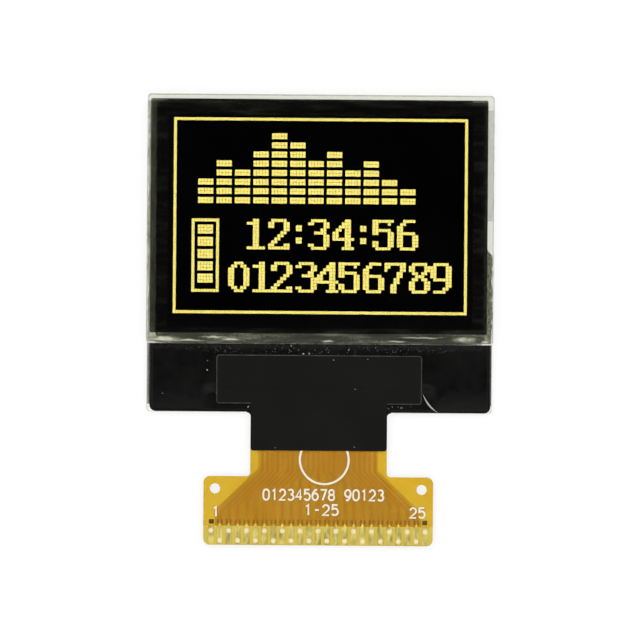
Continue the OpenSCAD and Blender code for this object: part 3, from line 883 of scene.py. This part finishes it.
def add_tape(lacquer, edge_highlight):
    """The die-cut tape. Round its arms a lighter rim is painted: a painted highlight along the cut
    edges.
    """
    tail = BOX["tail_bond_film"][1].x
    shoulder = BOX["substrate_glass"][0].y
    bm = copy_of("light_tape")
    neck = max(v.co.x for v in bm.verts if v.co.y < shoulder)
    for vert in bm.verts:
        if abs(vert.co.x) <= neck + GAP:
            vert.co.x *= tail / neck
    upper = [f for f in bm.faces if f.normal.z > 0.5]
    rim = bmesh.ops.inset_region(bm, faces=upper, thickness=TAPE_RIM, use_boundary=True,
                                 use_even_offset=True)["faces"]
    # Round the arms the rim is painted lighter: a painted highlight along the edges.
    for face in rim:
        face.material_index = int(face.calc_center_median().y > shoulder)
    break_edges(bm, TAPE_NIP)
    finish_piece("light_tape_cut", bm, [lacquer, edge_highlight], ["light_tape"])


# ---------------------------------------------------------------- tail films and print

LAYER_GAP = 2 * GAP
# Outlines of the glue round the fan of traces, as x and y in mm: thick, then thin
GLUE_OUTLINES = [
    [(-3.85, -13.0), (-3.85, -16.0), (-8.1, -20.1), (-8.1, -21.33), (8.1, -21.33),
     (8.1, -20.95), (3.85, -16.9), (3.85, -13.0)],
    [(-4.75, -13.0), (-4.75, -16.87), (-3.85, -16.0), (-3.85, -13.0)],
    [(3.85, -13.0), (3.85, -16.9), (8.1, -20.95), (8.1, -20.25), (4.65, -16.9), (4.65, -13.0)],
]


def add_tail_films(base, glued, cover, glue, thin_glue):
    """The tail's two films, kept clear of the copper, and the glue between its traces."""
    top = BOX["tail_base_film"][1].z
    foot = BOX["tail_cover_film"][0].y
    bm = copy_of("tail_base_film")
    for vert in bm.verts:
        if vert.co.z > top - GAP:
            vert.co.z -= LAYER_GAP
    bmesh.ops.bisect_plane(bm, geom=bm.verts[:] + bm.edges[:] + bm.faces[:],
                           plane_co=(0, foot, 0), plane_no=(0, 1, 0))
    for face in bm.faces:
        face.material_index = int(face.calc_center_median().y > foot)
    finish_piece("tail_base_sheet", bm, [base, glued], ["tail_base_film"])

    bm = bmesh.new()
    for count, outline in enumerate(GLUE_OUTLINES):
        face = bm.faces.new([bm.verts.new((x * MM, y * MM, 0)) for x, y in outline])
        face.material_index = min(count, 1)
    thicken(bm, top - LAYER_GAP + GAP / 2, top - GAP / 2)
    finish_piece("tail_glue", bm, [glue, thin_glue])

    top = BOX["tail_cover_film"][1].z
    bm = copy_of("tail_cover_film")
    for vert in bm.verts:
        if vert.co.z < top - GAP:
            vert.co.z += LAYER_GAP
    finish_piece("tail_cover_sheet", bm, [cover], ["tail_cover_film"])


PIN_COUNT = 25
PIN_PITCH = 0.7 * MM
DAM_SHRINK = 0.7  # of the width of the first and the last dams
THROAT_WIDTH = 0.24 * MM
THROAT_LENGTH = 0.26 * MM
HOLE_ROWS = (1.13 * MM, 0.36 * MM)  # above the end of the tail
RIM_RADIUS = 0.205 * MM
RIM_WIDTH = 0.1 * MM


def pin_place(pin):
    """Where a pin's middle is across the tail."""
    return (pin - (PIN_COUNT - 1) / 2) * PIN_PITCH


def plate_over(bm, level):
    """Turns a flat sheet into plating on a layer of the tail."""
    thicken(bm, level + GAP / 2, level + GAP * 3 / 2)


def add_throats(gold):
    """The gold runs a little way up each trace under the cover film, to a point."""
    foot = BOX["tail_cover_film"][0].y
    bm = bmesh.new()
    for pin in range(1, PIN_COUNT - 1):
        x = pin_place(pin)
        corners = [(x - THROAT_WIDTH / 2, foot), (x + THROAT_WIDTH / 2, foot),
                   (x, foot + THROAT_LENGTH)]
        bm.faces.new([bm.verts.new((*corner, 0)) for corner in corners])
    plate_over(bm, BOX["tail_traces"][1].z)
    finish_piece("gold_throats", bm, [gold])


def add_hole_rims(gold):
    """Rings of painted light on the plating round the solder holes, a little way into each hole:
    the light that comes through the holes and off their gold walls.
    """
    foot = BOX["tail_base_film"][0].y
    bm = bmesh.new()
    for pin in range(PIN_COUNT):
        middle = Vector((pin_place(pin), foot + HOLE_ROWS[pin % 2], 0))
        disc = bmesh.ops.create_circle(bm, cap_ends=True, segments=24, radius=RIM_RADIUS,
                                       matrix=Matrix.Translation(middle))
        face = disc["verts"][0].link_faces[0]
        bmesh.ops.inset_region(bm, faces=[face], thickness=RIM_WIDTH, use_boundary=True)
        bmesh.ops.delete(bm, geom=[face], context="FACES_ONLY")
    plate_over(bm, BOX["gold_pads"][1].z)
    finish_piece("hole_rims", bm, [gold])


def add_dams(brown, black):
    """Painted shade: dark marks beside each trace, on the CAD's solder dams. The first and the
    last, which meet no trace, are darker, near black.
    """
    side = BOX["tail_traces"][1].x - PIN_PITCH / 2
    bm = copy_of("solder_dams")
    for face in bm.faces:
        face.material_index = int(abs(face.calc_center_median().x) > side)
    for vert in bm.verts:
        if abs(vert.co.x) > side:
            middle = math.copysign(pin_place(PIN_COUNT - 1), vert.co.x)
            vert.co.x = middle + DAM_SHRINK * (vert.co.x - middle)
    finish_piece("dams_painted_shade", bm, [brown, black], ["solder_dams"])


INK_HEIGHT = 0.006 * MM
INK_STROKE = 0.15 * MM
INK_CLIMB = 0.001 * MM
MITRE_LIMIT = 0.6  # the least cosine of a half turn at which a stroke's corner is mitred
# A figure takes this part of its pitch, and this part is left free before it
FIGURE_SHARE, FIGURE_INSET = 0.7, 0.15
FIELD_WIDTH = 4
FIELD_HEIGHT = 6
# Lines of each figure on a field four wide and six high. Two numbers are a point; six are an
# arc: its centre, its two radii, and the angles in degrees at which it starts and ends.
FIGURES = {
    "0": [[(4, 2), (2, 4, 2, 2, 0, 180), (2, 2, 2, 2, 180, 360)]],
    "1": [[(0.8, 4.9), (2.2, 6), (2.2, 0)]],
    "2": [[(2, 4.1, 1.9, 1.9, 170, -35), (0, 0), (4, 0)]],
    "3": [[(2, 4.6, 1.7, 1.4, 150, -90), (2, 1.6, 2, 1.6, 90, -150)]],
    "4": [[(3, 0), (3, 6), (0, 1.8), (4.1, 1.8)]],
    "5": [[(3.7, 6), (0.6, 6), (0.4, 3.5), (2, 2, 2, 2, 125, -150)]],
    "6": [[(3.4, 6), (2, 5.9), (3.2, 2.2, 3.2, 3.7, 110, 180), (2, 2, 2, 2, 180, 540)]],
    "7": [[(0, 6), (4, 6), (1.5, 0)]],
    "8": [[(2, 4.5, 1.7, 1.5, 0, 360)], [(2, 1.6, 2, 1.6, 0, 360)]],
    "9": [[(0.6, 0), (2, 0.1), (0.8, 3.8, 3.2, 3.7, -70, 0), (2, 4, 2, 2, 0, 360)]],
    "-": [[(0.8, 3), (3.2, 3)]],
    " ": [],
}
ARC_STEPS = 12
# Each row of print: its text, then the side of the tail that its left end is measured from
# (-1 or 1, or 0 for the middle), and in mm that measure, its foot above the tail's end, its
# width and its height
PRINT_ROWS = [("012345678 90123", 0, -4.4, 3.49, 9.6, 0.97), ("1-25", 0, -1.14, 2.32, 2.8, 0.95),
              ("1", -1, 0.64, 2.17, 0.66, 0.9), ("25", 1, -1.9, 2.16, 1.36, 0.93)]


def line_points(line):
    """The points of a line of a figure, with its arcs as short straight steps."""
    points = []
    for part in line:
        if len(part) == 2:
            points.append(Vector(part))
            continue
        x, y, across, up, start, end = part
        for step in range(ARC_STEPS + 1):
            turn = math.radians(start + (end - start) * step / ARC_STEPS)
            points.append(Vector((x + across * math.cos(turn), y + up * math.sin(turn))))
    return points


def draw_stroke(bm, points, level):
    """One ribbon of ink. It climbs a little, so that it can cross itself."""
    sides = []
    for count, point in enumerate(points):
        before = point - points[count - 1] if count else points[1] - point
        after = points[count + 1] - point if count + 1 < len(points) else before
        along = (before.normalized() + after.normalized()).normalized()
        mitre = 1 / max(MITRE_LIMIT, along.dot(after.normalized()))
        across = Vector((-along.y, along.x)) * INK_STROKE / 2 * mitre
        z = level + INK_CLIMB * count / len(points)
        sides.append([bm.verts.new((*(point + across * side), z)) for side in (1, -1)])
    for a, b in zip(sides, sides[1:]):
        bm.faces.new((a[1], b[1], b[0], a[0]))


def draw_text(bm, text, left, foot, width, height):
    """A line of figures, as ribbons of ink."""
    level = BOX["tail_cover_film"][1].z + GAP
    pitch = width / len(text)
    scale = Vector((FIGURE_SHARE * pitch / FIELD_WIDTH, (height - INK_STROKE) / FIELD_HEIGHT))
    start = Vector((left + FIGURE_INSET * pitch, foot + INK_STROKE / 2))
    for place, mark in enumerate(text):
        corner = start + Vector((place * pitch, 0))
        for number, line in enumerate(FIGURES[mark]):
            draw_stroke(bm, [corner + point * scale for point in line_points(line)],
                        level + number * INK_CLIMB)


def add_print(ink):
    """A serial row, the pin range and the first and last pin's numbers."""
    low, high = BOX["tail_base_film"]
    bm = bmesh.new()
    for text, side, left, above, width, height in PRINT_ROWS:
        draw_text(bm, text, side * high.x + left * MM, low.y + above * MM, width * MM,
                  height * MM)
    raised = bmesh.ops.extrude_face_region(bm, geom=bm.faces[:])["geom"]
    bmesh.ops.translate(bm, vec=(0, 0, INK_HEIGHT),
                        verts=[v for v in raised if isinstance(v, bmesh.types.BMVert)])
    bmesh.ops.recalc_face_normals(bm, faces=bm.faces)
    finish_piece("printed_figures", bm, [ink])


# ---------------------------------------------------------------- dust and glue

NECK_HALF = BOX["tail_bond_film"][1].x
ARM_FOOT = BOX["substrate_glass"][0].y + 0.75 * MM
GRAIN_ASPECT = 0.7
# Lint and dust: x and y in mm and size across
DUST = [(-1.25, -7.81, 0.15), (-0.79, -7.81, 0.14), (-8.77, -9.13, 0.14), (-8.75, -8.4, 0.07),
        (2.29, -7.5, 0.12), (0.7, -7.7, 0.07), (1.12, -8.28, 0.1), (3.8, -8.2, 0.08),
        (2.83, -10.57, 0.1), (-2.2, -7.2, 0.12), (-5.55, -12.02, 0.12), (4.4, -7.3, 0.07),
        (-3.4, -15.2, 0.08), (-8.05, -10.9, 0.07), (2.8, -15.1, 0.08)]
DUST_HEIGHT = 0.05
# Crumbs of resin along the tape's edges: x and y in mm, size across and height
CRUMBS = [(6.46, -12.0, 0.24, 0.09), (6.2, -11.95, 0.14, 0.07), (5.75, -11.93, 0.18, 0.08),
          (5.45, -12.05, 0.16, 0.07), (-5.5, -11.95, 0.14, 0.07), (7.2, -11.9, 0.1, 0.05),
          (-12.25, -10.98, 0.15, 0.02)]
# Finer crumbs strewn along the cover, in mm: how far to either side, how far below the cover
# and to either side of that, the least size and what is added to it, and the height
STREWN_COUNT = 170
STREWN_REACH, STREWN_DROP, STREWN_BAND = 10.5, 0.45, 0.4
STREWN_SIZE, STREWN_GROWTH, STREWN_HEIGHT = 0.05, 0.07, 0.04
# The thread of glue: the three points of its curve, its width and its height, in mm
# The thread's pale tone is a painted highlight along the glue.
THREAD_POINTS = [Vector((8.12, -10.85)), Vector((8.5, -11.9)), Vector((9.35, -12.36))]
THREAD_WIDTH, THREAD_HEIGHT = 0.16, 0.06
THREAD_END = 0.15  # where on the swell from nothing to full and back the thread begins
THREAD_STEPS = 40


def add_grains(name, material, grains):
    """Flattened grains on the coat or the tape: x and y in mm, size across, and height."""
    tape = BOX["light_tape"]
    bm = bmesh.new()
    for turn, (x, y, size, tall) in enumerate(grains):
        spot = Vector((x, y, 0)) * MM
        spot.z = surface_height(spot.x, spot.y)
        if inside(spot, *tape, 0) and (abs(spot.x) < NECK_HALF or spot.y > ARM_FOOT):
            spot.z += tape[1].z - BOX["driver_chip"][1].z
        shape = (Matrix.Translation(spot) @ Matrix.Rotation(turn, 4, "Z")
                 @ Matrix.Diagonal((size * MM, size * GRAIN_ASPECT * MM, tall * MM, 1)))
        bmesh.ops.create_icosphere(bm, subdivisions=2, radius=0.5, matrix=shape)
    finish_piece(name, bm, [material], (), ALL_SMOOTH)


def add_dust(lint, resin, glue):
    """Lint, crumbs of dried resin along the tape and the cover, and a thread of spilt glue, pale
    with a painted highlight.
    """
    add_grains("dust_specks", lint, [(*speck, DUST_HEIGHT) for speck in DUST])

    crumbs = list(CRUMBS)
    middle = BOX["cover_glass"][0].y / MM - STREWN_DROP
    for _ in range(STREWN_COUNT):
        scatter = noise.random_unit_vector()
        crumbs.append((STREWN_REACH * scatter.x, middle + STREWN_BAND * scatter.y,
                       STREWN_SIZE + STREWN_GROWTH * scatter.z ** 2, STREWN_HEIGHT))
    add_grains("resin_crumbs", resin, crumbs)

    start, bend, end = THREAD_POINTS
    thread = []
    for step in range(THREAD_STEPS + 1):
        t = step / THREAD_STEPS
        point = start * (1 - t) ** 2 + bend * 2 * t * (1 - t) + end * t * t
        swell = math.sin(math.pi * (THREAD_END + (1 - 2 * THREAD_END) * t)) ** 2
        thread.append((*point, THREAD_WIDTH * swell, THREAD_HEIGHT))
    add_grains("glue_thread", glue, thread)


# ---------------------------------------------------------------- build

noise.seed_set(7)
add_camera()
add_lamps()
add_floor()
add_world()

add_glass_plates(float_glass(), ground_glass())
add_polariser(polariser_film())
add_seal_bead(
    sealing_resin("sealing_resin_bead", (0.14, 1.0, 1.0), "1A1C16", "37392F", "84867A"),
    sealing_resin("sealing_resin_thin", (1.0, 0.3, 1.0), "7C7D71", "A5A699", "C4C5B9"),
    sealing_resin("sealing_resin_side", (3.0, 2.0, 1.0), "3A3B33", "66675C", "98998D"))
# The voids' pale shells are painted light.
add_seal_voids([cloudy_resin("sealing_resin_void_painted_light", "A0A196", "E4E4DA", 0.75),
                cloudy_resin("sealing_resin_void_painted_light_inner", "909186", "CCCCC0", 0.5),
                cloudy_resin("sealing_resin_void_painted_light_outer", "7C7D71", "A8A99C", 0.3),
                cloudy_resin("sealing_resin_void_painted_light_haze", "6C6D61", "8C8D80", 0.2)])
add_seal_haze(cloudy_resin("sealing_resin_haze", "2C2D28", "6C6D66", 0.16))
add_surround(black_enamel())
add_dots(glowing_dots())
black_resin = poured_resin()
add_coat(black_resin)
add_fillets(black_resin)
add_smear(cloudy_resin("black_silicone_skin", "30312A", "5E5F55", 0.38))
add_tape(light_tape_film(),
         # The tape's lighter rim round its arms is a painted highlight.
         plain_finish("polyester_tape_painted_edge_highlight", "10100F", "403F3B", 0.7, 1.3))
cream_ink = plain_finish("screened_white_epoxy_ink", "F2E6CC", "FCF4E0", 0.55, 4)
add_print(cream_ink)
add_tail_films(polyimide("polyimide_base_film", "D2BA4A", "DCC456"),
               polyimide("polyimide_base_film_glued", "B1973E", "B99F46"), polyimide_cover(),
               polyimide("acrylic_glue_layer", "957430", "9D7C36"),
               polyimide("acrylic_glue_thin", "9B7F33", "A3873A"))
plated = immersion_gold()
add_throats(plated)
# The bright rings round the holes are painted light.
add_hole_rims(plain_finish("gold_plate_painted_light", "EBD27A", "FAE79A", 0.5, 5))
# The dark marks beside the traces are painted shade.
add_dams(plain_finish("dark_brown_painted_shade", "63410B", "7C5414", 0.5, 6),
         plain_finish("black_painted_shade", "2A1703", "3C2406", 0.5, 6))
add_dust(plain_finish("lint_and_dust", "8C8B80", "D8D6C8", 0.8, 9),
         plain_finish("dried_resin_crumbs", "2C2C28", "66655A", 0.5, 9),
         # The glue thread's pale tone is a painted highlight.
         plain_finish("dried_clear_glue_painted_highlight", "9A9A90", "CACAC0", 0.4, 6))

KEPT_NODES = {
    "column_lines": sputtered_metal("sputtered_molybdenum", "6E7073", "8A8C8F"),
    "row_leads": sputtered_metal("sputtered_molybdenum_fine", "6E7073", "8A8C8F"),
    "input_leads": sputtered_metal("sputtered_molybdenum_broad", "6E7073", "8A8C8F"),
    "row_electrodes": sputtered_metal("thin_cathode_dulled", "0C0C0D", "121214"),
    "emissive_film": organic_layers(),
    "driver_chip": plain_finish("ground_silicon", "1A1B20", "26272C", 0.3, 2.5),
    "chip_bond_film": plain_finish("conductive_film_chip", "7E7350", "94885F", 0.5, 5),
    "tail_bond_film": plain_finish("conductive_film_tail", "7E7350", "94885F", 0.5, 5),
    "tail_traces": rolled_copper(),
    "gold_pads": plated,
    "printed_ring": cream_ink,
}
for node, material in KEPT_NODES.items():
    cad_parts[node].data.materials.clear()
    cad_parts[node].data.materials.append(material)

bpy.context.scene.view_settings.view_transform = "Standard"
